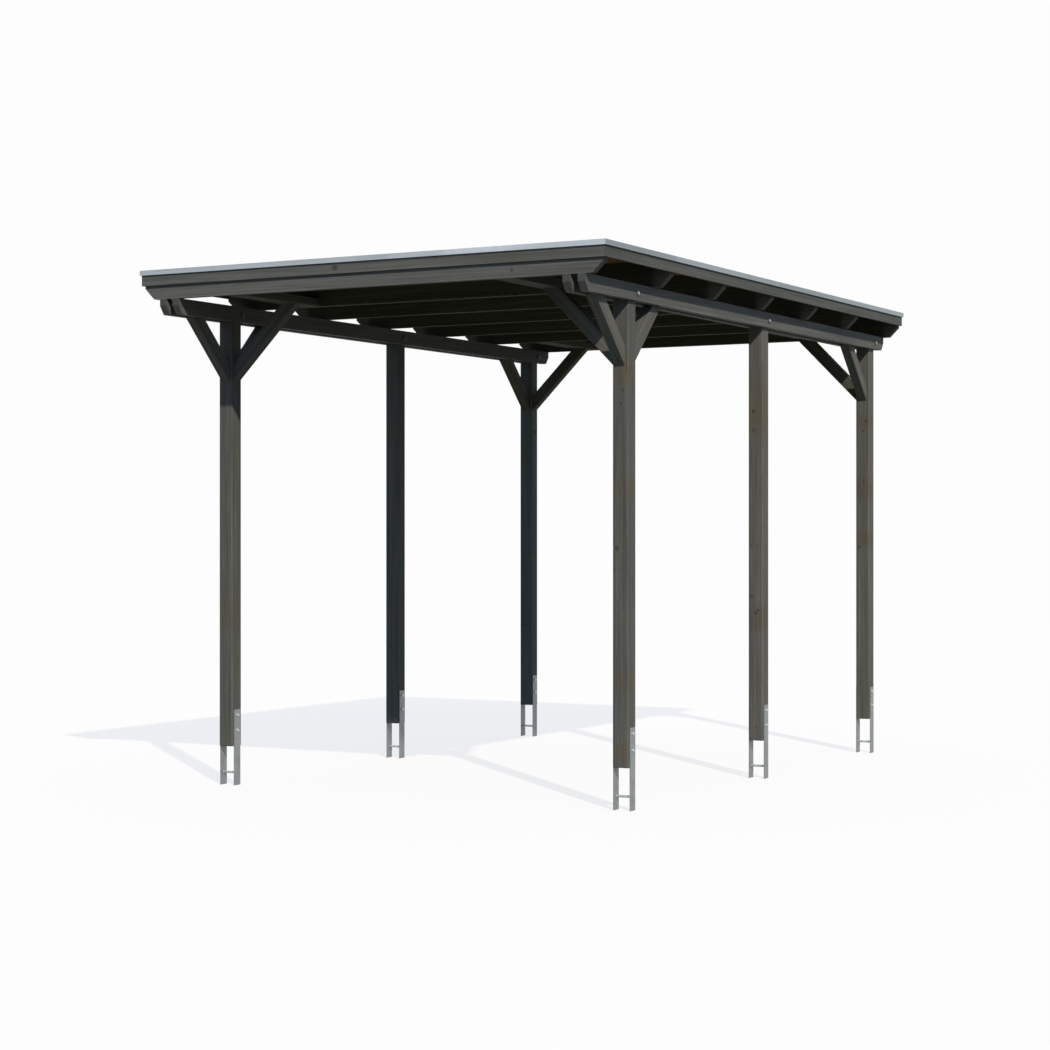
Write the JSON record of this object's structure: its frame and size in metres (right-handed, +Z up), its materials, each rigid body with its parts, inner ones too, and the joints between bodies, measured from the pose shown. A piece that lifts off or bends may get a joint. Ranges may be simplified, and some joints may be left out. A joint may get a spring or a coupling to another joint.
{
  "type": "flat-roofed timber carport",
  "caption": "Open timber carport with a flat roof on posts in steel feet, double purlins, knee braces and a metal roof edge.",
  "frame": {"origin": "bottom centre of the whole carport, on the ground under the middle of the roof", "axes": "+Z up, +Y from the entrance towards the rear along the roof, +X to the right seen from the entrance"},
  "size_m": [4.01, 6.074, 4.016],
  "materials": {
    "galvanised_steel": "dull hot-dip galvanised",
    "bolt_zinc": "bright zinc plated",
    "post_timber": "slate grey stain on planed timber",
    "purlin_timber": "slate grey stain on planed timber",
    "rafter_timber": "slate grey stain on planed timber",
    "trimmer_timber": "slate grey stain on planed timber",
    "brace_timber": "slate grey stain on planed timber",
    "fascia_timber": "slate grey stain on planed timber",
    "deck_timber": "bare softwood boards",
    "membrane_rubber": "matt roofing sheet",
    "trim_aluminium": "satin, slightly weathered"
  },
  "bodies": {
    "root": {"brace_front_left_backward": "brace_timber", "brace_front_left_forward": "brace_timber", "brace_front_left_inward": "brace_timber", "brace_front_right_backward": "brace_timber", "brace_front_right_forward": "brace_timber", "brace_front_right_inward": "brace_timber", "brace_rear_left_forward": "brace_timber", "brace_rear_left_inward": "brace_timber", "brace_rear_right_forward": "brace_timber", "brace_rear_right_inward": "brace_timber", "edge_trim_front": "trim_aluminium", "edge_trim_left": "trim_aluminium", "edge_trim_rear": "trim_aluminium", "edge_trim_right": "trim_aluminium", "fascia_front": "fascia_timber", "fascia_left": "fascia_timber", "fascia_rear": "fascia_timber", "fascia_right": "fascia_timber", "foot_bolts": "bolt_zinc", "post_foot_front_left": "galvanised_steel", "post_foot_front_right": "galvanised_steel", "post_foot_middle_left": "galvanised_steel", "post_foot_middle_right": "galvanised_steel", "post_foot_rear_left": "galvanised_steel", "post_foot_rear_right": "galvanised_steel", "post_front_left": "post_timber", "post_front_right": "post_timber", "post_middle_left": "post_timber", "post_middle_right": "post_timber", "post_rear_left": "post_timber", "post_rear_right": "post_timber", "purlin_bolts": "bolt_zinc", "purlin_left_inner": "purlin_timber", "purlin_left_outer": "purlin_timber", "purlin_right_inner": "purlin_timber", "purlin_right_outer": "purlin_timber", "rafter_1": "rafter_timber", "rafter_2": "rafter_timber", "rafter_3": "rafter_timber", "rafter_4": "rafter_timber", "rafter_5": "rafter_timber", "rafter_6": "rafter_timber", "rafter_7": "rafter_timber", "roof_deck_boards": "deck_timber", "roof_membrane": "membrane_rubber", "trimmer_front_left": "trimmer_timber", "trimmer_front_right": "trimmer_timber", "trimmer_rear_left": "trimmer_timber", "trimmer_rear_right": "trimmer_timber"}
  },
  "joints": []
}
